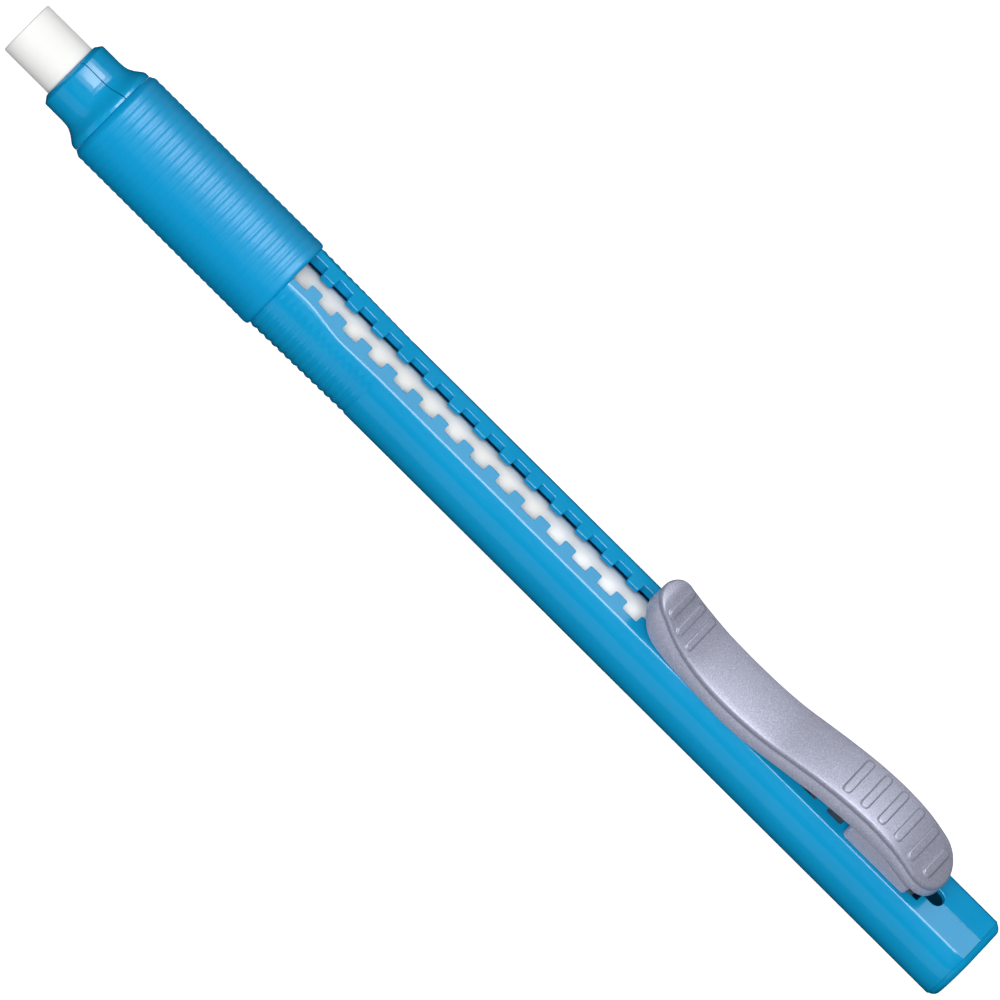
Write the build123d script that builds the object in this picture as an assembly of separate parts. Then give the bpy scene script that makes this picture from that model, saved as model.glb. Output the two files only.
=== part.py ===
from build123d import *
import os
from math import radians, sqrt, tan

# Click-advance stick eraser, held like a pen.
# Millimetres. The drawing's stations run back along +X from the nose's front rim, with the stick
# on the X axis and the ratchet slot facing +Z. place() then moves every piece so that the origin
# is the centre of the tail's flat end face, with +X pointing out of the tail.

# Driving dimensions -------------------------------------------------------------------------
BODY_LENGTH = 139.2        # nose rim to tail face
BARREL_R = 5.5
BORE_R = 3.9
STICK_R = 3.45
STICK_TIP = -6.9           # how far the stick stands out of the nose
STICK_LENGTH = 77.9

# Barrel
BARREL_FRONT = 6.6
BARREL_REAR = 138.3
GRIP_SEAT_R = 5.2
GRIP_SEAT_END = 33.4
ROOF_RIM_Y = 3.45          # the top is planed to a very shallow roof
ROOF_SLOPE = 2.0           # degrees
ROOF_RISE = 0.45           # the top steps up again where it meets the grip
RISE_LEVEL_END = 36.5
RISE_END = 42.0
PAD_R = 5.75               # ribbed finger pad behind the grip
PAD_END = 47.7
PAD_PITCH = 1.0
PAD_GROOVE = 0.08
COUNTERBORE_R = 4.4
COUNTERBORE_END = 12.5

# Ratchet slot
TOOTH_PITCH = 3.95
TOOTH_WIDTH = 1.74
TOOTH_FIRST = 35.4
TOOTH_COUNT = 24
GAP_HALF = 2.2
CHANNEL_HALF = 1.05
SLOT_REAR = 132.55

# Nose
NOSE_BORE_R = 3.6
NOSE_R = 4.5
NOSE_RING_R = 5.72
NOSE_RING_REAR = 6.55
NOSE_SLIT = 0.16
NOSE_SLIT_ANGLE = 16.0     # the slits' turn about X away from the slot

# Grip sleeve
GRIP_R = 6.08
GRIP_FRONT = 6.6
GRIP_REAR = 33.4
GRIP_RIB_FIRST = 7.9
GRIP_RIBS = 25
GRIP_RIB_PITCH = 1.0
GRIP_GROOVE = 0.08
GRIP_GROOVE_WIDTH = 0.6

# Clip lever
LEVER_FRONT = 86.0
LEVER_REAR = 131.05
LEVER_HALF = 3.6
LEVER_SKIN = 1.1
RIB_WIDTH = 1.04           # raised bars across the toe and the thumb rest
RIB_HEIGHT = 0.22
TOE_RIBS = [(88.8, 2.3), (90.7, 2.6), (92.6, 2.8)]
THUMB_RIB_FIRST = 115.98
THUMB_RIB_PITCH = 2.55
THUMB_RIB_HALVES = [2.8, 2.8, 2.8, 2.8, 2.8, 2.3]
HINGE_X = 123.4
HINGE_Z = 7.3
HINGE_BEAD_R = 0.7
HINGE_GAP = 0.06
HINGE_HALF = 2.2

# Slider foot
FOOT_FRONT = 119.1
FOOT_REAR = 128.65
FOOT_HALF = 3.1
FOOT_LIFT = 0.15
NECK_HALF = 0.85
NECK_FRONT = 119.6
NECK_REAR = 126.6
NECK_BOTTOM = -1.8
LUG_LENGTH = 1.8
LUG_HALF = 2.0
LUG_BOTTOM = 3.45
LUG_TOP = 4.3

# Refill holder, which pushes the stick and holds it on a barbed spike
HOLDER_R = 3.45
HOLDER_FRONT = 71.05
HOLDER_REAR = 129.6
HOLLOW_R = 2.7
HOLLOW_FRONT = 74.0
HOLLOW_REAR = 115.5
TRAY_FRONT = 112.5         # behind this the holder is an open tray
TRAY_TOP = 0.4
SPIKE_R = 0.8
SPIKE_BARB_R = 1.05
SPIKE_LENGTH = 6.0
SPIKE_HOLE_R = 1.15
SPIKE_HOLE_DEPTH = 6.6

# Worked out ---------------------------------------------------------------------------------
ROOF_RIM_Z = sqrt(BARREL_R ** 2 - ROOF_RIM_Y ** 2)
ROOF_APEX_Z = ROOF_RIM_Z + ROOF_RIM_Y * tan(radians(ROOF_SLOPE))
TOOTH_GAP = TOOTH_PITCH - TOOTH_WIDTH
LUG_GAP_NUMBER = 21
LUG_X = TOOTH_FIRST + LUG_GAP_NUMBER * TOOTH_PITCH + TOOTH_WIDTH + TOOTH_GAP / 2


def place(part):
    """Move a piece from the drawing's stations to the part's own frame."""
    return Location((-BODY_LENGTH, 0, 0)) * part


def save(part, name):
    part = place(part)
    part.label = name
    export_step(part, f"parts/{name}.step")


def turned(points):
    """A solid of revolution about X from (station, radius) points joined by straight lines."""
    outline = Polyline(*[(x, 0, r) for x, r in points], close=True)
    return revolve(make_face(outline), Axis.X)


def rod(radius, front, rear):
    return Location((front, 0, 0)) * Rot(0, 90, 0) * Cylinder(
        radius, rear - front, align=(Align.CENTER, Align.CENTER, Align.MIN))


def block(x0, x1, half, z0, z1):
    """A box from station x0 to x1, half a width each side of the centre plane."""
    return Location(((x0 + x1) / 2, 0, (z0 + z1) / 2)) * Box(x1 - x0, 2 * half, z1 - z0)


def side_plate(outline, half):
    """Extrude a closed XZ outline by half a width each side of the centre plane."""
    return extrude(make_face(outline), amount=half, dir=(0, 1, 0), both=True)


def above_roof(x0, x1, lift=0.0, end_lift=None):
    """The space over the barrel's planed top, raised by lift, which may change towards x1."""
    if end_lift is None:
        end_lift = lift
    eave = 2 * ROOF_RIM_Y
    eave_z = ROOF_APEX_Z + lift - eave * tan(radians(ROOF_SLOPE))
    high = 12.0
    outline = Polyline(
        (x0, 0, ROOF_APEX_Z + lift), (x0, eave, eave_z), (x0, eave, high),
        (x0, -eave, high), (x0, -eave, eave_z), close=True)
    way = Vector(x1 - x0, 0, end_lift - lift)
    return extrude(make_face(outline), amount=way.length, dir=way)


def pad_profile():
    """Stations and radii of the ribbed finger pad, which eases down to the plain barrel."""
    slope = (PAD_R - BARREL_R) / (PAD_END - GRIP_SEAT_END)
    points = [(GRIP_SEAT_END, PAD_R)]
    count = int((PAD_END - GRIP_SEAT_END) / PAD_PITCH)
    for i in reversed(range(count)):
        x = PAD_END - 0.2 - i * PAD_PITCH
        r = PAD_R - slope * (x - GRIP_SEAT_END)
        points += [(x - 0.2, r), (x, r - PAD_GROOVE), (x + 0.2, r)]
    return points[:-1] + [(PAD_END, BARREL_R)]


def slot_cutter():
    """The narrow channel between the teeth, and the wide gap behind each tooth."""
    deep = 8.0
    channel = block(TOOTH_FIRST, SLOT_REAR - CHANNEL_HALF, CHANNEL_HALF, 0, deep)
    round_end = Location((SLOT_REAR - CHANNEL_HALF, 0, deep / 2)) * Cylinder(CHANNEL_HALF, deep)
    cutter = channel + round_end
    cutter += block(BARREL_FRONT, TOOTH_FIRST, GAP_HALF, 0, deep)
    for i in range(TOOTH_COUNT):
        x0 = TOOTH_FIRST + i * TOOTH_PITCH + TOOTH_WIDTH
        cutter += block(x0, x0 + TOOTH_GAP, GAP_HALF, 0, deep)
    return cutter


def barrel():
    outer = turned(
        [(BARREL_FRONT, 0), (BARREL_FRONT, GRIP_SEAT_R), (GRIP_SEAT_END, GRIP_SEAT_R)]
        + pad_profile() + [(BARREL_REAR, BARREL_R), (BARREL_REAR, 0)])
    body = outer - above_roof(GRIP_SEAT_END, RISE_LEVEL_END, ROOF_RISE)
    body -= above_roof(RISE_LEVEL_END, RISE_END, ROOF_RISE, 0.0)
    body -= above_roof(RISE_END, BODY_LENGTH)
    body -= rod(BORE_R, BARREL_FRONT, BARREL_REAR)
    body -= rod(COUNTERBORE_R, BARREL_FRONT, COUNTERBORE_END)
    return body - slot_cutter()


def nose_collet():
    spigot_end = COUNTERBORE_END - 0.1
    body = turned([
        (0, NOSE_BORE_R), (0, NOSE_BORE_R + 0.15), (0.15, NOSE_R - 0.4), (0.57, NOSE_R),
        (3.27, NOSE_R), (4.0, NOSE_R + 0.06), (4.9, NOSE_R + 0.45), (5.7, NOSE_RING_R - 0.16),
        (6.1, NOSE_RING_R), (NOSE_RING_REAR, NOSE_RING_R), (NOSE_RING_REAR, COUNTERBORE_R),
        (spigot_end, COUNTERBORE_R), (spigot_end, NOSE_BORE_R)])
    slit = block(0, NOSE_RING_REAR, NOSE_SLIT / 2, -8, 8)
    return body - Rot(NOSE_SLIT_ANGLE, 0, 0) * slit


def grip_sleeve():
    points = [(GRIP_FRONT, GRIP_SEAT_R), (GRIP_FRONT, 5.72), (7.3, GRIP_R)]
    half = GRIP_GROOVE_WIDTH / 2
    for i in range(GRIP_RIBS):
        x = GRIP_RIB_FIRST + i * GRIP_RIB_PITCH
        points += [(x - half, GRIP_R), (x, GRIP_R - GRIP_GROOVE), (x + half, GRIP_R)]
    points += [(GRIP_REAR - 0.45, GRIP_R), (GRIP_REAR, GRIP_R - 0.4), (GRIP_REAR, GRIP_SEAT_R)]
    return turned(points)


def tail_plug():
    """The flush cap that closes the bore, with its outer edge eased all round."""
    ease = 0.8
    cap = turned([
        (BARREL_REAR, 0), (BARREL_REAR, BARREL_R), (BODY_LENGTH - ease, BARREL_R),
        (BODY_LENGTH - 0.3 * ease, BARREL_R - 0.3 * ease), (BODY_LENGTH, BARREL_R - ease),
        (BODY_LENGTH, 0)])
    cap -= above_roof(BARREL_REAR, BODY_LENGTH)
    corner = Polyline(
        (BODY_LENGTH - ease, 0, ROOF_APEX_Z), (BODY_LENGTH, 0, ROOF_APEX_Z - ease),
        (BODY_LENGTH, 0, ROOF_APEX_Z + 1), (BODY_LENGTH - ease, 0, ROOF_APEX_Z + 1), close=True)
    cap -= side_plate(corner, BARREL_R)
    return cap + rod(BORE_R, BARREL_REAR - 4.5, BARREL_REAR)


def eraser_stick():
    rear = STICK_TIP + STICK_LENGTH
    stick = rod(STICK_R, STICK_TIP, rear)
    stick = chamfer(stick.edges().filter_by(GeomType.CIRCLE), 0.15)
    return stick - rod(SPIKE_HOLE_R, rear - SPIKE_HOLE_DEPTH, rear)


def lever_top():
    """The lever's top line from toe to tail: a curled-up toe, a waist and a raised thumb rest."""
    return Spline(
        (LEVER_FRONT, 0, 10.2), (87.4, 0, 10.25), (90.6, 0, 8.6), (95.4, 0, 7.15), (99.0, 0, 6.95),
        (102.7, 0, 7.12), (106.4, 0, 7.67), (110.1, 0, 8.66), (113.7, 0, 9.5), (117.4, 0, 10.11),
        (121.1, 0, 10.34), (124.7, 0, 9.96), (128.4, 0, 8.82), (LEVER_REAR, 0, 7.6))


def lever_bottom():
    """The skirts' lower edge, from the tail back to the toe."""
    return Spline(
        (LEVER_REAR, 0, 5.3), (129.9, 0, 5.8), (128.5, 0, 6.45), (126.4, 0, 7.0), (124.1, 0, 7.3),
        (120.5, 0, 7.3), (117.4, 0, 6.94), (113.7, 0, 6.41), (110.1, 0, 5.64), (106.0, 0, 4.75),
        (102.5, 0, 4.5), (98.0, 0, 4.48), (92.0, 0, 4.68), (LEVER_FRONT, 0, 4.85))


def lever_plan():
    """The lever from above: a rounded toe that widens to a rounded tail."""
    tail_centre = LEVER_REAR - LEVER_HALF
    side = [(tail_centre, LEVER_HALF), (99.0, LEVER_HALF), (92.1, 3.3), (88.9, 2.75)]
    far = Polyline(*side)
    toe = ThreePointArc((88.9, 2.75), (LEVER_FRONT, 0), (88.9, -2.75))
    near = Polyline(*[(x, -y) for x, y in reversed(side)])
    tail = ThreePointArc((tail_centre, -LEVER_HALF), (LEVER_REAR, 0), (tail_centre, LEVER_HALF))
    return make_face([far, toe, near, tail])


def with_ribs(body):
    """Raise bars with rounded ends out of the lever's top."""
    raised = Location((0, 0, RIB_HEIGHT)) * body
    thumb = [(THUMB_RIB_FIRST + i * THUMB_RIB_PITCH, half) for i, half in enumerate(THUMB_RIB_HALVES)]
    for x, half in TOE_RIBS + thumb:
        plan = Location((x, 0, 0)) * RectangleRounded(RIB_WIDTH, 2 * half, 0.45 * RIB_WIDTH)
        column = extrude(plan, amount=20) & block(x - 1, x + 1, half, HINGE_Z, 20)
        body = body + (raised & column)
    return body


def clip_lever():
    top = lever_top()
    bottom = lever_bottom()
    outline = [top, Line(top @ 1, bottom @ 0), bottom, Line(bottom @ 1, top @ 0)]
    body = side_plate(outline, LEVER_HALF + 1)
    body &= extrude(lever_plan(), amount=20)
    body = with_ribs(body)
    roof = Location((0, 0, -LEVER_SKIN)) * top
    low = 0.0
    cavity_half = LEVER_HALF - LEVER_SKIN
    cavity_outline = [
        roof, Line(roof @ 1, (LEVER_REAR, 0, low)), Line((LEVER_REAR, 0, low), (LEVER_FRONT, 0, low)),
        Line((LEVER_FRONT, 0, low), roof @ 0)]
    cavity = side_plate(cavity_outline, cavity_half)
    cavity &= block(LEVER_FRONT + 4.0, LEVER_REAR - 2.2, cavity_half, low, 20)
    web = block(HINGE_X - 1.5, HINGE_X + 1.5, cavity_half + 1, HINGE_Z, 20)
    body -= cavity - web
    saddle = Location((HINGE_X, 0, HINGE_Z)) * Rot(90, 0, 0) * Cylinder(
        HINGE_BEAD_R + HINGE_GAP, 2 * HINGE_HALF + 0.3)
    return body - saddle


def slider_foot():
    outline = Polyline(
        (FOOT_FRONT, 0, 4.2), (FOOT_FRONT, 0, 7.08), (HINGE_X - 0.5, 0, 7.08),
        (HINGE_X - 0.5, 0, 6.8), (HINGE_X + 0.6, 0, 6.75), (FOOT_REAR, 0, 5.5),
        (FOOT_REAR, 0, 4.2), close=True)
    body = side_plate(outline, FOOT_HALF)
    plan = Location(((FOOT_FRONT + FOOT_REAR) / 2, 0, 0)) * RectangleRounded(
        FOOT_REAR - FOOT_FRONT, 2 * FOOT_HALF, 0.6)
    body &= extrude(plan, amount=12)
    body &= above_roof(FOOT_FRONT, FOOT_REAR, FOOT_LIFT)
    relief = block(HINGE_X - 1.7, HINGE_X - 0.5, LEVER_HALF - LEVER_SKIN + 0.2, 6.8, 8)
    body -= relief
    body += block(HINGE_X - 0.4, HINGE_X + 0.4, HINGE_HALF, 6.4, HINGE_Z)
    body += Location((HINGE_X, 0, HINGE_Z)) * Rot(90, 0, 0) * Cylinder(HINGE_BEAD_R, 2 * HINGE_HALF)
    body += block(NECK_FRONT, NECK_REAR, NECK_HALF, NECK_BOTTOM, ROOF_APEX_Z + FOOT_LIFT + 0.3)
    body += block(LUG_X - LUG_LENGTH / 2, LUG_X + LUG_LENGTH / 2, LUG_HALF, LUG_BOTTOM, LUG_TOP)
    return body


def spike():
    """The turned spike on the holder's front, with two barbs and a blunt point."""
    root = HOLDER_FRONT
    tip = root - SPIKE_LENGTH
    return turned([
        (root + 0.5, 0), (root + 0.5, SPIKE_R), (root - 1.6, SPIKE_R), (root - 1.7, SPIKE_BARB_R),
        (root - 3.0, SPIKE_R), (root - 3.8, SPIKE_R), (root - 3.9, SPIKE_BARB_R),
        (tip, 0.35), (tip, 0)])


def refill_holder(foot):
    body = rod(HOLDER_R, HOLDER_FRONT, HOLDER_REAR)
    body -= rod(HOLLOW_R, HOLLOW_FRONT, HOLLOW_REAR)
    body -= block(TRAY_FRONT, HOLDER_REAR, HOLDER_R + 1, TRAY_TOP, HOLDER_R + 1)
    body += spike()
    return body - foot


def main():
    os.makedirs("parts", exist_ok=True)
    foot = slider_foot()
    save(barrel(), "barrel")
    save(nose_collet(), "nose_collet")
    save(grip_sleeve(), "grip_sleeve")
    save(tail_plug(), "tail_plug")
    save(eraser_stick(), "eraser_stick")
    save(refill_holder(foot), "refill_holder")
    save(foot, "slider_foot")
    save(clip_lever(), "clip_lever")


main()
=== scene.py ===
import math

import bmesh
import bpy
from mathutils import Matrix, Vector


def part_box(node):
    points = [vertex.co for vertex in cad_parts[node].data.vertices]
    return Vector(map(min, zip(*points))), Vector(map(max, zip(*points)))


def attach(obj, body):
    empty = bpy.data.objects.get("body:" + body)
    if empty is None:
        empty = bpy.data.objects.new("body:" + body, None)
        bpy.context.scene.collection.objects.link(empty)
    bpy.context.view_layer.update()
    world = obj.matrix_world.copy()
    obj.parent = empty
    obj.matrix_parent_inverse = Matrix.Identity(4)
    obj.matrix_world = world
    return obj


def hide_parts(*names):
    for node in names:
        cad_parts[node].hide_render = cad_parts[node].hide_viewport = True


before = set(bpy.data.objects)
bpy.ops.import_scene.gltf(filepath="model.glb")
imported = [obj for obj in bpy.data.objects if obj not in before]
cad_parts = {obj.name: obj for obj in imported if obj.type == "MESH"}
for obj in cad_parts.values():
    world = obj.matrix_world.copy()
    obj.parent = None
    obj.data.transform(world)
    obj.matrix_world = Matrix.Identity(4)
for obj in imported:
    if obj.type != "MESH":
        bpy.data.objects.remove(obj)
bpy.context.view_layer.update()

# Click eraser. Lengths below are millimetres unless they say otherwise. Stations run back along +X
# from the nose's front rim, and metres() turns such a point into the frame's own coordinates.

MM = 0.001
NOSE_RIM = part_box("nose_collet")[0][0]
TAIL = (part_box("tail_plug")[1][0] - NOSE_RIM) / MM

# Shared sizes
BARREL_R = 5.5
BORE_R = 3.9
BARREL_FRONT = 33.4        # where the barrel comes out from under the grip
BARREL_REAR = 138.3
ROOF_RIM_Y = 3.45
ROOF_SLOPE = math.tan(math.radians(2.0))
ROOF_RIM_Z = math.sqrt(BARREL_R ** 2 - ROOF_RIM_Y ** 2)
ROOF_APEX_Z = ROOF_RIM_Z + ROOF_RIM_Y * ROOF_SLOPE
ROOF_RISE = 0.45           # the flat top steps up where it meets the grip
RISE_FROM = 36.0
RISE_TO = 42.5

# Ratchet slot
TOOTH_PITCH = 3.95
TOOTH_WIDTH = 1.74
TOOTH_FIRST = 35.4
TOOTH_COUNT = 24
GAP_HALF = 2.2
CHANNEL_HALF = 1.05
SLOT_REAR = 132.55

# Camera
VIEW_ROLL = math.radians(38.0)       # the slot faces this far above the line of sight
VIEW_YAW = math.radians(-1.0)        # the camera stands a little towards the nose
VIEW_TILT = math.radians(44.82)      # the axis slopes down to the right in the frame
VIEW_WIDTH = 110.0
VIEW_STATION = 66.75
VIEW_DROP = -0.14
CAMERA_DISTANCE = 3000.0


def metres(x, y, z):
    return Vector((NOSE_RIM + x * MM, y * MM, z * MM))


# Curves -------------------------------------------------------------------------------------


def smooth_line(points):
    """A function z(x) through the points, with slopes taken from their neighbours."""
    xs = [p[0] for p in points]
    zs = [p[1] for p in points]
    slopes = []
    for i in range(len(points)):
        a = max(i - 1, 0)
        b = min(i + 1, len(points) - 1)
        slopes.append((zs[b] - zs[a]) / (xs[b] - xs[a]))

    def z(x):
        x = min(max(x, xs[0]), xs[-1])
        i = 0
        while i < len(xs) - 2 and x > xs[i + 1]:
            i += 1
        h = xs[i + 1] - xs[i]
        t = (x - xs[i]) / h
        a = (2 * t ** 3 - 3 * t ** 2 + 1) * zs[i] + (t ** 3 - 2 * t ** 2 + t) * h * slopes[i]
        b = (3 * t ** 2 - 2 * t ** 3) * zs[i + 1] + (t ** 3 - t ** 2) * h * slopes[i + 1]
        return a + b

    return z


def eased_corner(before, corner, after, size, steps=4):
    """Points round a corner, starting and ending size away from it along its two sides."""
    p0 = corner + (before - corner).normalized() * size
    p2 = corner + (after - corner).normalized() * size
    out = []
    for i in range(steps + 1):
        t = i / steps
        out.append(p0 * (1 - t) ** 2 + corner * 2 * t * (1 - t) + p2 * t ** 2)
    return out


# Mesh helpers -------------------------------------------------------------------------------


def make_object(name, verts, faces, sharp=35.0):
    mesh = bpy.data.meshes.new(name)
    mesh.from_pydata([metres(*v) for v in verts], [], faces)
    mesh.validate()
    bm = bmesh.new()
    bm.from_mesh(mesh)
    bmesh.ops.remove_doubles(bm, verts=bm.verts, dist=1e-7)
    bmesh.ops.recalc_face_normals(bm, faces=bm.faces)
    bm.to_mesh(mesh)
    bm.free()
    smooth(mesh, sharp)
    obj = bpy.data.objects.new(name, mesh)
    bpy.context.collection.objects.link(obj)
    return obj


def smooth(mesh, sharp):
    mesh.polygons.foreach_set("use_smooth", [True] * len(mesh.polygons))
    mesh.set_sharp_from_angle(angle=math.radians(sharp))


def skin(rings, cap_first=False, cap_last=False, wrap=False):
    """Vertices and quads through closed rings that all have the same number of points."""
    n = len(rings[0])
    verts = [p for ring in rings for p in ring]
    faces = []
    last = len(rings) if wrap else len(rings) - 1
    for i in range(last):
        a = i * n
        b = ((i + 1) % len(rings)) * n
        for j in range(n):
            k = (j + 1) % n
            faces.append((a + j, a + k, b + k, b + j))
    if cap_first:
        faces.append(tuple(range(n)))
    if cap_last:
        a = (len(rings) - 1) * n
        faces.append(tuple(a + j for j in reversed(range(n))))
    return verts, faces


def turned(name, profile, segments=128, slits=(), slit_floor=0.0, slit_end=0.0, sharp=35.0):
    """Revolve a closed (station, radius) profile about the axis, with narrow lengthways slits."""
    columns = [(360.0 * i / segments, False) for i in range(segments)]
    for centre, half in slits:
        columns = [c for c in columns if abs((c[0] - centre + 180) % 360 - 180) > 1.6 * half]
        columns += [(centre - half, False), (centre - 0.9 * half, True)]
        columns += [(centre + 0.9 * half, True), (centre + half, False)]
    columns.sort(key=lambda c: c[0] % 360)
    rings = []
    for degrees, deep in columns:
        a = math.radians(degrees)
        ring = []
        for x, r in profile:
            if deep and x <= slit_end:
                r = min(r, slit_floor)
            ring.append((x, -r * math.sin(a), r * math.cos(a)))
        rings.append(ring)
    verts, faces = skin(rings, wrap=True)
    return make_object(name, verts, faces, sharp)


def softened_copy(node, name, width, sharp=40.0):
    """A copy of a CAD node with its coplanar faces joined and its edges eased."""
    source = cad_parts[node]
    obj = bpy.data.objects.new(name, source.data.copy())
    bpy.context.collection.objects.link(obj)
    mesh = obj.data
    bm = bmesh.new()
    bm.from_mesh(mesh)
    bmesh.ops.remove_doubles(bm, verts=bm.verts, dist=1e-7)
    bmesh.ops.dissolve_limit(bm, angle_limit=math.radians(1.0), verts=bm.verts, edges=bm.edges)
    bm.to_mesh(mesh)
    bm.free()
    bevel = obj.modifiers.new("ease", "BEVEL")
    bevel.width = width * MM
    bevel.segments = 3
    bevel.limit_method = "ANGLE"
    bevel.angle_limit = math.radians(35.0)
    apply_modifiers(obj)
    smooth(obj.data, sharp)
    return obj


def apply_modifiers(obj):
    bpy.context.view_layer.update()
    graph = bpy.context.evaluated_depsgraph_get()
    mesh = bpy.data.meshes.new_from_object(obj.evaluated_get(graph))
    obj.modifiers.clear()
    obj.data = mesh


# Materials ----------------------------------------------------------------------------------


def srgb(r, g, b):
    def linear(c):
        c /= 255.0
        return c / 12.92 if c <= 0.04045 else ((c + 0.055) / 1.055) ** 2.4
    return (linear(r), linear(g), linear(b), 1.0)


def scaled(colour, k):
    return (colour[0] * k, colour[1] * k, colour[2] * k, 1.0)


def new_material(name):
    mat = bpy.data.materials.new(name)
    mat.use_nodes = True
    nodes = mat.node_tree.nodes
    links = mat.node_tree.links
    return mat, nodes, links, nodes["Principled BSDF"]


def noise(nodes, links, coords, scale, detail=2.0):
    node = nodes.new("ShaderNodeTexNoise")
    node.inputs["Scale"].default_value = scale
    node.inputs["Detail"].default_value = detail
    links.new(coords.outputs["Object"], node.inputs["Vector"])
    return node


def ramp(nodes, links, source, stops):
    node = nodes.new("ShaderNodeValToRGB")
    elements = node.color_ramp.elements
    elements[0].position, elements[0].color = stops[0]
    elements[1].position, elements[1].color = stops[-1]
    for position, colour in stops[1:-1]:
        elements.new(position).color = colour
    links.new(source.outputs["Fac"], node.inputs["Fac"])
    return node


def spread(nodes, links, source, low, high):
    """Map a noise's middle range to low..high."""
    node = nodes.new("ShaderNodeMapRange")
    node.inputs["From Min"].default_value = 0.3
    node.inputs["From Max"].default_value = 0.7
    node.inputs["To Min"].default_value = low
    node.inputs["To Max"].default_value = high
    links.new(source.outputs["Fac"], node.inputs["Value"])
    return node


def bump(nodes, links, shader, source, strength, distance):
    node = nodes.new("ShaderNodeBump")
    node.inputs["Strength"].default_value = strength
    node.inputs["Distance"].default_value = distance * MM
    links.new(source.outputs["Fac"], node.inputs["Height"])
    links.new(node.outputs["Normal"], shader.inputs["Normal"])
    return node


def moulded(name, colour, dark, rough, rough_spread, grain, grain_depth, subsurface=0.0, specular=0.5):
    """Moulded plastic or rubber: slow colour drift, uneven gloss and a fine surface grain."""
    mat, nodes, links, shader = new_material(name)
    coords = nodes.new("ShaderNodeTexCoord")
    drift = noise(nodes, links, coords, 90.0, 3.0)
    tint = ramp(nodes, links, drift, [(0.35, dark), (0.65, colour)])
    links.new(tint.outputs["Color"], shader.inputs["Base Color"])
    gloss = noise(nodes, links, coords, 260.0, 4.0)
    uneven = spread(nodes, links, gloss, rough - rough_spread, rough + rough_spread)
    links.new(uneven.outputs["Result"], shader.inputs["Roughness"])
    fine = noise(nodes, links, coords, grain, 3.0)
    bump(nodes, links, shader, fine, 0.25, grain_depth)
    shader.inputs["Specular IOR Level"].default_value = specular
    if subsurface:
        shader.inputs["Subsurface Weight"].default_value = subsurface
        shader.inputs["Subsurface Radius"].default_value = (0.4, 0.8, 1.0)
        shader.inputs["Subsurface Scale"].default_value = 0.8 * MM
    return mat


def flecked(name, k):
    """Silver-lavender plastic with a fine metallic fleck, its colours scaled by k."""
    mat, nodes, links, shader = new_material(name)
    coords = nodes.new("ShaderNodeTexCoord")
    fleck = noise(nodes, links, coords, 8000.0, 1.0)
    tint = ramp(nodes, links, fleck, [
        (0.30, scaled(srgb(146, 148, 168), k)), (0.52, scaled(srgb(164, 167, 187), k)),
        (0.72, scaled(srgb(184, 187, 207), k))])
    links.new(tint.outputs["Color"], shader.inputs["Base Color"])
    shader.inputs["Metallic"].default_value = 0.2
    gloss = spread(nodes, links, fleck, 0.36, 0.42)
    links.new(gloss.outputs["Result"], shader.inputs["Roughness"])
    grain = noise(nodes, links, coords, 2400.0, 2.0)
    bump(nodes, links, shader, grain, 0.2, 0.01)
    return mat


BLUE = moulded(
    "barrel_blue", scaled(srgb(16, 156, 210), 0.90), scaled(srgb(14, 152, 206), 0.90),
    rough=0.13, rough_spread=0.02, grain=1500.0, grain_depth=0.003, subsurface=0.08)
# Nearly without gloss, so that the white strip isn't mirrored in the slot's walls. Its colour is a little
# darker than the barrel's: painted shade on the slot's walls and bore. A fit to the look.
SHADED_BLUE_INSIDE = moulded(
    "slot_wall_blue_painted_shade", scaled(srgb(8, 150, 206), 0.85), scaled(srgb(8, 146, 202), 0.85),
    rough=0.55, rough_spread=0.05, grain=1500.0, grain_depth=0.01, specular=0.05)
GRIP_BLUE = moulded(
    "grip_blue", scaled(srgb(2, 152, 208), 0.90), scaled(srgb(2, 147, 202), 0.90),
    rough=0.34, rough_spread=0.04, grain=4200.0, grain_depth=0.01, specular=0.28)
ERASER_WHITE = moulded(
    "eraser_white", scaled(srgb(247, 247, 246), 0.90), scaled(srgb(243, 243, 240), 0.90),
    rough=0.75, rough_spread=0.08, grain=2600.0, grain_depth=0.05, subsurface=0.2)
HOLDER_WHITE = moulded(
    "holder_white", scaled(srgb(244, 247, 249), 0.88), scaled(srgb(240, 244, 247), 0.88),
    rough=0.42, rough_spread=0.05, grain=1800.0, grain_depth=0.01, subsurface=0.1)
LAVENDER = flecked("lavender_fleck", 0.84)
# Paler for the clip's side walls and the foot, which this light leaves too dark. It makes up for the
# light and doesn't say that the plastic differs.
LAVENDER_SIDE = flecked("lavender_side", 1.10)


def dress(obj, material, body, slot_name, *nodes):
    """Give a piece its material, its body and the CAD nodes that it stands for; its slot name is not used.
    """
    obj.data.materials.clear()
    obj.data.materials.append(material)
    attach(obj, body)
    if nodes:
        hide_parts(*nodes)


# Barrel -------------------------------------------------------------------------------------

PAD_R = 5.75
PAD_END = 47.7
PAD_PITCH = 1.0
PAD_GROOVE = 0.15
GROOVE_RUN_IN = math.radians(16.0)   # the grooves deepen over this angle below the rim
OUTER_POINTS = 72
BORE_POINTS = 40
RIM_EASE = 0.15            # rounding of the edge between roof and tube
TOOTH_EASE = 0.2           # rounding of the teeth's corners, seen from above
SLOT_CREASE = 0.012        # half-width of the fine crease behind the slot's end


def roof_z(x, y):
    t = min(max((RISE_TO - x) / (RISE_TO - RISE_FROM), 0.0), 1.0)
    return ROOF_APEX_Z - abs(y) * ROOF_SLOPE + ROOF_RISE * t * t * (3 - 2 * t)


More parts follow.
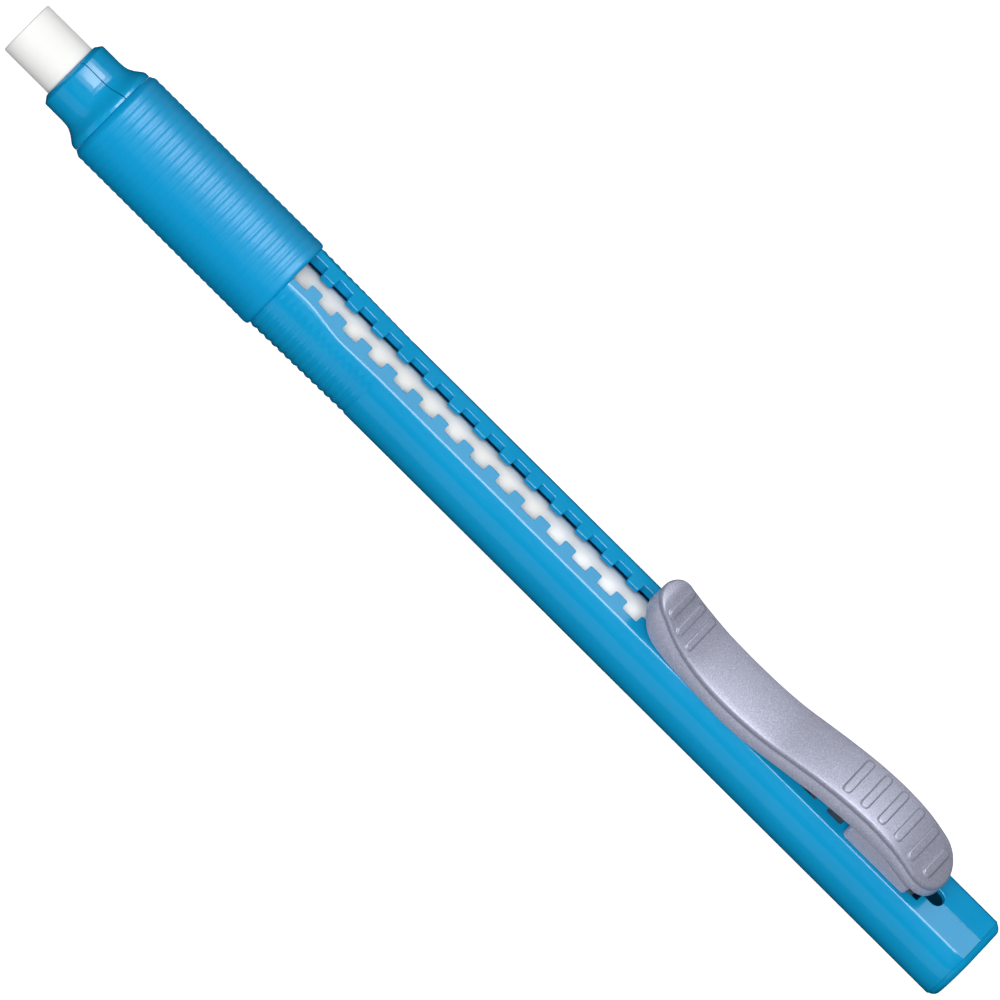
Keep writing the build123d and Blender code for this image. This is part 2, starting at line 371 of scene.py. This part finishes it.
def outer_half(x, radius, inner_y, groove=0.0):
    """Half of the barrel's outside from its top at inner_y, over the rim and round to the keel."""
    rim_y = ROOF_RIM_Y
    for _ in range(6):
        rim_y = math.sqrt(radius ** 2 - roof_z(x, rim_y) ** 2)
    rim = Vector((rim_y, math.sqrt(radius ** 2 - rim_y ** 2)))
    rim_angle = math.atan2(rim.x, rim.y)
    top = Vector((inner_y, roof_z(x, inner_y)))
    tangent = rim + Vector((math.cos(rim_angle), -math.sin(rim_angle)))
    corner = eased_corner(top, rim, tangent, RIM_EASE)
    flat_steps = 12
    points = []
    for i in range(flat_steps):
        y = inner_y + (corner[0].x - inner_y) * i / flat_steps
        points.append((y, roof_z(x, y)))
    points += [(p.x, p.y) for p in corner]
    start = math.atan2(corner[-1].x, corner[-1].y)
    for i in range(1, OUTER_POINTS // 2 + 1):
        a = start + (math.pi - start) * i / (OUTER_POINTS // 2)
        r = radius - groove * min((a - start) / GROOVE_RUN_IN, 1.0) ** 2
        points.append((r * math.sin(a), r * math.cos(a)))
    return points


def barrel_ring(x, radius, half, groove):
    """A C-shaped section, open at the slot: outside, slot walls and bore."""
    ease = min(0.06, 0.6 * half + 0.02)
    top = roof_z(x, half)
    edge = [
        (half, top - 1.6 * ease), (half, top - ease), (half + 0.3 * ease, top - 0.3 * ease),
        (half + ease, roof_z(x, half + ease))]
    right = outer_half(x, radius, half + 1.6 * ease, groove)
    bore_start = math.asin(min(half / BORE_R, 1.0))
    bore = []
    for i in range(BORE_POINTS + 1):
        a = bore_start + (2 * math.pi - 2 * bore_start) * i / BORE_POINTS
        bore.append((BORE_R * math.sin(a), BORE_R * math.cos(a)))
    outside = edge + right
    left = [(-y, z) for y, z in reversed(outside[:-1])]
    loop = outside + left + list(reversed(bore))
    return [(x, y, z) for y, z in loop]


def tooth_front(x):
    """(station, half-width) pairs down the front face of a tooth that starts at x."""
    ease = TOOTH_EASE
    return [
        (x - 0.3 * ease, GAP_HALF - 0.3 * ease), (x, GAP_HALF - ease), (x, CHANNEL_HALF + ease),
        (x + 0.3 * ease, CHANNEL_HALF + 0.3 * ease), (x + ease, CHANNEL_HALF)]


def slot_stations():
    """(station, half-width) pairs down the slot: square teeth with eased corners."""
    out = [(BARREL_FRONT, GAP_HALF), (TOOTH_FIRST - TOOTH_EASE, GAP_HALF)]
    for i in range(TOOTH_COUNT):
        x0 = TOOTH_FIRST + i * TOOTH_PITCH
        x1 = x0 + TOOTH_WIDTH
        rising = tooth_front(x0)
        out += rising
        out.append(((x0 + x1) / 2, CHANNEL_HALF))
        out += [(x0 + x1 - x, half) for x, half in reversed(rising)]
        out += [(x1 + TOOTH_EASE, GAP_HALF), (x1 + TOOTH_PITCH - TOOTH_WIDTH - TOOTH_EASE, GAP_HALF)]
    out += tooth_front(TOOTH_FIRST + TOOTH_COUNT * TOOTH_PITCH)
    centre = SLOT_REAR - CHANNEL_HALF
    steps = 10
    for i in range(steps + 1):
        a = math.pi / 2 * i / steps
        half = max(CHANNEL_HALF * math.cos(a), SLOT_CREASE)
        out.append((centre + CHANNEL_HALF * math.sin(a), half))
    rest = BARREL_REAR - SLOT_REAR
    out += [(SLOT_REAR + rest * i / 4, SLOT_CREASE) for i in range(1, 4)]
    out += [(BARREL_REAR - 0.05, SLOT_CREASE), (BARREL_REAR, SLOT_CREASE)]
    return out


def pad_section(x):
    """The finger pad's radius, easing down to the plain barrel, and its groove's depth."""
    if x >= PAD_END:
        return BARREL_R, 0.0
    along = (x - BARREL_FRONT) / (PAD_END - BARREL_FRONT)
    radius = PAD_R + (BARREL_R - PAD_R) * along
    phase = (x - PAD_END + 0.2) / PAD_PITCH % 1.0
    return radius, PAD_GROOVE * math.exp(-(min(phase, 1.0 - phase) / 0.25) ** 2)


def make_barrel():
    stations = slot_stations()
    pad_step, plain_step = 0.1, 1.2
    dense = []
    for i in range(len(stations) - 1):
        x0, h0 = stations[i]
        x1, h1 = stations[i + 1]
        dense.append((x0, h0))
        limit = pad_step if x0 < PAD_END else plain_step
        parts = int((x1 - x0) / limit)
        for j in range(1, parts):
            t = j / parts
            dense.append((x0 + (x1 - x0) * t, h0 + (h1 - h0) * t))
    dense.append(stations[-1])
    rings = []
    for x, half in dense:
        radius, groove = pad_section(x)
        if x == BARREL_REAR:
            radius -= 0.04
        rings.append(barrel_ring(x, radius, half, groove))
    verts, faces = skin(rings, cap_first=True, cap_last=True)
    obj = make_object("barrel_shell", verts, faces, sharp=40.0)
    dress(obj, BLUE, "housing", "barrel_plastic", "barrel")
    # The slot's walls and bore take the darker copy of the blue, which is painted shade.
    obj.data.materials.append(SHADED_BLUE_INSIDE)
    for face in obj.data.polygons:      # the steep faces inside the tube are the slot's walls and bore
        y, z = face.center.y / MM, face.center.z / MM
        if math.hypot(y, z) < BARREL_R - 0.2 and z < ROOF_RIM_Z + 1.0 and abs(face.normal.z) < 0.5:
            face.material_index = 1


def make_tail_plug():
    ease = 1.5
    sink = 1.0
    steps = 8
    sections = [(BARREL_REAR, 0.06), (BARREL_REAR + 0.06, 0.0)]
    for i in range(2, steps + 1):
        a = math.pi / 2 * i / steps
        sections.append((TAIL - ease + ease * math.sin(a), sink * (1 - math.cos(a))))
    half = outer_half(TAIL, BARREL_R, 0.0)
    loop = half + [(-y, z) for y, z in reversed(half[1:-1])]
    rings = []
    for x, inset in sections:
        k = (BARREL_R - inset) / BARREL_R
        rings.append([(x, k * y, k * z) for y, z in loop])
    rings.append([(x, 0.6 * y, 0.6 * z) for x, y, z in rings[-1]])
    verts, faces = skin(rings, cap_first=True, cap_last=True)
    obj = make_object("tail_cap", verts, faces, sharp=40.0)
    dress(obj, BLUE, "housing", "barrel_plastic", "tail_plug")


# Nose, grip and stick -----------------------------------------------------------------------

NOSE_R = 4.5
NOSE_RING_R = 5.72
NOSE_BORE_R = 3.6
NOSE_REAR = 6.55
SPIGOT_R = 4.4
SPIGOT_REAR = 12.4
NOSE_SLIT_ANGLE = 16.0
NOSE_SLIT_HALF = 0.7


def make_nose():
    profile = [
        (0.08, NOSE_BORE_R), (0.0, NOSE_BORE_R + 0.06), (0.0, 3.7), (0.05, 3.8), (0.5, 4.4),
        (0.6, 4.48), (0.72, NOSE_R), (3.2, NOSE_R), (3.27, NOSE_R + 0.004), (3.34, 4.514),
        (3.7, 4.53), (4.0, 4.565), (4.3, 4.65), (4.6, 4.79), (4.9, 4.96), (5.2, 5.17), (5.5, 5.4),
        (5.75, 5.58), (5.9, 5.66), (6.05, 5.7), (6.2, NOSE_RING_R), (6.46, NOSE_RING_R),
        (6.52, 5.69), (NOSE_REAR, 5.62),
        (NOSE_REAR, SPIGOT_R), (SPIGOT_REAR, SPIGOT_R), (SPIGOT_REAR, NOSE_BORE_R)]
    slits = [(NOSE_SLIT_ANGLE, NOSE_SLIT_HALF), (NOSE_SLIT_ANGLE + 180, NOSE_SLIT_HALF)]
    obj = turned(
        "nose_shell", profile, slits=slits, slit_floor=NOSE_BORE_R + 0.05, slit_end=NOSE_REAR,
        sharp=50.0)
    dress(obj, BLUE, "housing", "barrel_plastic", "nose_collet")


GRIP_R = 6.07
GRIP_SEAT_R = 5.2
GRIP_FRONT = 6.57
GRIP_REAR = 33.4
GRIP_RIB_FIRST = 7.9
GRIP_RIBS = 25
GRIP_RIB_PITCH = 1.0
GRIP_GROOVE = 0.06


def make_grip():
    profile = [
        (GRIP_FRONT, GRIP_SEAT_R), (GRIP_FRONT, 5.66), (GRIP_FRONT + 0.05, 5.72),
        (7.0, 5.93), (7.15, 6.02), (7.3, GRIP_R)]
    across = [
        (-0.38, 0.0), (-0.29, 0.12), (-0.2, 0.45), (-0.1, 0.85), (0.0, 1.0),
        (0.1, 0.85), (0.2, 0.45), (0.29, 0.12), (0.38, 0.0)]
    for i in range(GRIP_RIBS):
        x = GRIP_RIB_FIRST + i * GRIP_RIB_PITCH
        profile += [(x + dx, GRIP_R - GRIP_GROOVE * depth) for dx, depth in across]
    profile += [
        (GRIP_REAR - 0.5, GRIP_R), (GRIP_REAR - 0.2, 6.0), (GRIP_REAR - 0.04, 5.85),
        (GRIP_REAR, 5.7), (GRIP_REAR, GRIP_SEAT_R)]
    obj = turned("grip_rubber", profile, segments=144, sharp=60.0)
    dress(obj, GRIP_BLUE, "housing", "grip_rubber", "grip_sleeve")


STICK_EDGE = 0.25          # length of the rounded edge at the stick's tip
STICK_LAP = 0.045          # closes the small gap that the CAD leaves between stick and holder


def make_stick():
    lo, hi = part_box("eraser_stick")
    front = (lo[0] - NOSE_RIM) / MM
    rear = (hi[0] - NOSE_RIM) / MM
    radius = hi[2] / MM
    profile = [(front, 0.0)]
    profile += [(front, r) for r in (0.9, 1.8, 2.6, 3.1)]
    profile += [(front + 0.03, radius - 0.12), (front + 0.12, radius - 0.02), (front + STICK_EDGE, radius)]
    steps = 60
    straight = rear - front - 2 * STICK_EDGE
    profile += [(front + STICK_EDGE + straight * i / steps, radius) for i in range(1, steps)]
    profile += [(rear + STICK_LAP, radius), (rear + STICK_LAP, 0.0)]
    obj = turned("eraser_refill", profile, segments=96, sharp=50.0)
    dress(obj, ERASER_WHITE, "stick", "eraser_vinyl", "eraser_stick")


# Clip lever ---------------------------------------------------------------------------------

LEVER_FRONT = 86.0
LEVER_REAR = 131.05
LEVER_HALF = 3.6
TOE_R = 2.754
LEVER_EDGE = 0.3           # rounding of the top edge
LEVER_RIM = 0.72           # depth of the rim, down to the line that divides it from the skirts
LEVER_LINE = 0.11
LEVER_WALL = 1.1
LEVER_CROWN = 0.16         # how far the top falls from its middle to its edge
TOP_LINE = smooth_line([
    (86.0, 10.22), (87.2, 10.2), (88.4, 9.78), (90.6, 8.72), (92.9, 7.95), (95.4, 7.42), (99.0, 7.15),
    (102.7, 7.27), (106.4, 7.76), (110.1, 8.68), (113.7, 9.5), (117.4, 10.1), (121.1, 10.3),
    (124.7, 9.96), (128.4, 8.82), (131.05, 7.67)])
BOTTOM_LINE = smooth_line([
    (86.0, 6.45), (86.9, 6.15), (87.85, 5.4), (89.0, 4.62), (90.5, 4.42), (96.0, 4.4), (101.0, 4.28),
    (104.0, 4.45), (107.0, 5.0), (110.1, 5.64), (113.7, 6.41), (117.4, 6.94), (120.5, 7.3),
    (124.1, 7.3), (126.4, 7.0), (128.5, 6.45), (129.9, 5.8), (131.05, 5.3)])
PLAN_LINE = smooth_line([
    (88.75, TOE_R), (90.2, 3.06), (92.1, 3.34), (95.4, LEVER_HALF), (99.0, 3.73), (103.0, 3.72),
    (107.0, 3.65), (111.0, LEVER_HALF), (127.45, LEVER_HALF)])


def lever_outline():
    """Points of the lever from above, each with the point of the spine that it faces."""
    toe_x = LEVER_FRONT + TOE_R
    tail_x = LEVER_REAR - LEVER_HALF
    arc_steps = 18
    side_steps = 84
    side = []
    for i in range(arc_steps):
        a = math.pi / 2 * i / arc_steps
        side.append((toe_x - TOE_R * math.cos(a), TOE_R * math.sin(a), toe_x))
    for i in range(side_steps):
        x = toe_x + (tail_x - toe_x) * i / side_steps
        side.append((x, PLAN_LINE(x), x))
    for i in range(arc_steps + 1):
        a = math.pi / 2 * i / arc_steps
        side.append((tail_x + LEVER_HALF * math.sin(a), LEVER_HALF * math.cos(a), tail_x))
    return side + [(x, -y, s) for x, y, s in reversed(side[1:-1])]


def inset_point(point, distance=None, share=None):
    """A point of the outline moved towards the spine by a distance or by a share of the way."""
    x, y, spine = point
    width = math.hypot(x - spine, y)
    t = share if share is not None else distance / width
    return x + (spine - x) * t, y * (1 - t), 1 - t


def lever_ring(outline, z, distance=None, share=None):
    ring = []
    for point in outline:
        x, y, out = inset_point(point, distance, share)
        ring.append((x, y, z(x, out)))
    return ring


def make_lever():
    outline = lever_outline()

    def top(drop):
        return lambda x, out: TOP_LINE(x) - drop - LEVER_CROWN * out ** 2

    def skirt(rise):
        return lambda x, out: BOTTOM_LINE(x) + rise

    rings = [lever_ring(outline, top(0.0), share=s) for s in (1.0, 0.85, 0.7, 0.55, 0.4, 0.28)]
    steps = 6
    for i in range(steps + 1):
        a = math.pi / 2 * i / steps
        drop = LEVER_EDGE * (1 - math.cos(a))
        rings.append(lever_ring(outline, top(drop), distance=LEVER_EDGE * (1 - math.sin(a))))
    rings.append(lever_ring(outline, top(LEVER_RIM - 0.1), distance=0.0))
    rings.append(lever_ring(outline, top(LEVER_RIM - 0.03), distance=0.03))
    rings.append(lever_ring(outline, top(LEVER_RIM), distance=LEVER_LINE))
    rings.append(lever_ring(outline, top(LEVER_RIM + 0.08), distance=LEVER_LINE + 0.01))
    rings.append(lever_ring(outline, top(LEVER_RIM + 0.14), distance=0.05))
    rings.append(lever_ring(outline, skirt(0.12), distance=0.0))
    rings.append(lever_ring(outline, skirt(0.03), distance=0.03))
    rings.append(lever_ring(outline, skirt(0.0), distance=0.12))
    rings.append(lever_ring(outline, skirt(0.2), distance=0.45))
    rings.append(lever_ring(outline, skirt(0.25), distance=LEVER_WALL))
    rings.append(lever_ring(outline, top(LEVER_WALL), distance=LEVER_WALL + 0.02))
    rings += [lever_ring(outline, top(LEVER_WALL), share=s) for s in (0.6, 0.8, 1.0)]
    verts, faces = skin(rings)
    obj = make_object("clip_shell", verts, faces, sharp=60.0)
    dress(obj, LAVENDER, "lever", "clip_plastic", "clip_lever")
    obj.data.materials.append(LAVENDER_SIDE)
    for face in obj.data.polygons:
        x = (face.center.x - NOSE_RIM) / MM
        if abs(face.normal.z) < 0.5 and face.center.z / MM < TOP_LINE(x) - LEVER_RIM:
            face.material_index = 1


RIB_HEIGHT = 0.25
RIB_SKIRT = 0.12
RIB_SINK = 0.03            # how far a rib's foot lies under the lever's surface
RIB_MARGIN = 0.05          # plain strip round a rib's foot
FRONT_RIBS = [88.92, 90.82, 92.68]
REAR_RIBS = [115.98 + 2.55 * i for i in range(6)]


def rib_height(dx, y, half_width, half_length):
    """A rounded bar that runs out smoothly at its foot."""
    past = max(abs(y) - (half_length - half_width), 0.0)
    d = math.hypot(dx, past)
    t = min(max((half_width + RIB_SKIRT - d) / (RIB_SKIRT + 0.1), 0.0), 1.0)
    return RIB_HEIGHT * t * t * (3 - 2 * t)


def make_ribs(name, stations, half_width, lengths):
    reach = half_width + RIB_SKIRT + RIB_MARGIN
    columns = 16
    rows = 56
    verts, faces = [], []
    for station, half_length in zip(stations, lengths):
        base = len(verts)
        for j in range(rows + 1):
            y = (half_length + RIB_SKIRT + RIB_MARGIN) * (2 * j / rows - 1)
            for i in range(columns + 1):
                x = station + reach * (2 * i / columns - 1)
                out = min(abs(y) / LEVER_HALF, 1.0)
                surface = TOP_LINE(x) - LEVER_CROWN * out ** 2
                rise = rib_height(x - station, y, half_width, half_length)
                verts.append((x, y, surface - RIB_SINK + rise))
        wide = columns + 1
        for j in range(rows):
            for i in range(columns):
                a = base + j * wide + i
                faces.append((a, a + 1, a + wide + 1, a + wide))
    obj = make_object(name, verts, faces, sharp=80.0)
    dress(obj, LAVENDER, "lever", "clip_plastic")


# Camera, floor and light --------------------------------------------------------------------


def make_camera():
    sin_r, cos_r = math.sin(VIEW_ROLL), math.cos(VIEW_ROLL)
    sin_y, cos_y = math.sin(VIEW_YAW), math.cos(VIEW_YAW)
    back = Vector((sin_y, -sin_r * cos_y, cos_r * cos_y))
    along = (Vector((1, 0, 0)) - back * back.x).normalized()
    across = back.cross(along)
    c, s = math.cos(VIEW_TILT), math.sin(VIEW_TILT)
    right = along * c + across * s
    up = across * c - along * s
    centre = metres(VIEW_STATION, 0, 0) + across * VIEW_DROP * MM
    data = bpy.data.cameras.new("camera")
    data.sensor_width = 36.0
    data.lens = data.sensor_width * CAMERA_DISTANCE / VIEW_WIDTH
    data.clip_start = 0.05
    data.clip_end = 20.0
    camera = bpy.data.objects.new("camera", data)
    bpy.context.collection.objects.link(camera)
    turn = Matrix((right, up, back)).transposed().to_4x4()
    camera.matrix_world = Matrix.Translation(centre + back * CAMERA_DISTANCE * MM) @ turn
    bpy.context.scene.camera = camera


def make_floor():
    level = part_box("grip_sleeve")[0][2]
    reach = 1.6                # metres
    verts = [
        (-reach, -reach, level), (reach, -reach, level), (reach, reach, level), (-reach, reach, level)]
    mesh = bpy.data.meshes.new("floor")
    mesh.from_pydata(verts, [], [(0, 1, 2, 3)])
    floor = bpy.data.objects.new("floor", mesh)
    bpy.context.collection.objects.link(floor)
    mat, _, _, shader = new_material("floor_white")
    shader.inputs["Base Color"].default_value = (0.9, 0.9, 0.9, 1.0)
    shader.inputs["Roughness"].default_value = 0.9
    shader.inputs["Specular IOR Level"].default_value = 0.0
    shader.inputs["Emission Color"].default_value = (1, 1, 1, 1)
    shader.inputs["Emission Strength"].default_value = 0.65
    mesh.materials.append(mat)
    floor.visible_glossy = False
    floor.visible_diffuse = False
    floor.visible_shadow = False


def area_light(name, lean, distance, size, radiance, glossy=True, diffuse=True):
    """A rectangular light leaning from overhead, in degrees towards the camera's side."""
    middle = metres(VIEW_STATION, 0, 0)
    direction = Vector((0, -math.sin(math.radians(lean)), math.cos(math.radians(lean))))
    data = bpy.data.lights.new(name, "AREA")
    data.shape = "RECTANGLE"
    data.size, data.size_y = size
    data.energy = radiance * math.pi * size[0] * size[1]
    light = bpy.data.objects.new(name, data)
    light.location = middle + direction * distance
    light.rotation_euler = direction.to_track_quat("Z", "Y").to_euler()
    light.visible_camera = False
    light.visible_glossy = glossy
    light.visible_diffuse = diffuse
    bpy.context.collection.objects.link(light)


def make_light():
    # Lean in degrees, then distance and size in metres, then radiance. The boxes and the card are seen
    # only in reflections, and the fills only by diffuse surfaces, so the two are set apart.
    area_light("soft_box", 0, 0.5, (0.34, 0.78), 2.2, diffuse=False)
    area_light("soft_box_core", 0, 0.49, (0.28, 0.44), 6.5, diffuse=False)
    area_light("table_card", 100, 0.6, (1.6, 0.36), 0.36, diffuse=False)
    area_light("top_fill", 0, 0.6, (0.8, 0.5), 1.05, glossy=False)
    area_light("front_fill", 50, 0.9, (1.2, 0.6), 4.3, glossy=False)
    area_light("back_fill", -70, 0.9, (1.2, 0.6), 1.5, glossy=False)
    world = bpy.data.worlds.new("studio")
    world.use_nodes = True
    shade = world.node_tree.nodes["Background"]
    shade.inputs["Color"].default_value = (1, 1, 1, 1)
    shade.inputs["Strength"].default_value = 0.12
    bpy.context.scene.world = world
    world.cycles_visibility.glossy = False
    bpy.context.scene.view_settings.view_transform = "Standard"


make_camera()
make_barrel()
make_tail_plug()
make_nose()
make_grip()
make_stick()
holder = softened_copy("refill_holder", "holder_tube", 0.03)
dress(holder, HOLDER_WHITE, "carriage", "holder_plastic", "refill_holder")
foot = softened_copy("slider_foot", "slider_block", 0.12)
dress(foot, LAVENDER_SIDE, "carriage", "clip_plastic", "slider_foot")
make_lever()
make_ribs("toe_ribs", FRONT_RIBS, 0.44, [2.35, 2.6, 2.8])
make_ribs("thumb_ribs", REAR_RIBS, 0.52, [2.8] * 5 + [2.3])
make_floor()
make_light()
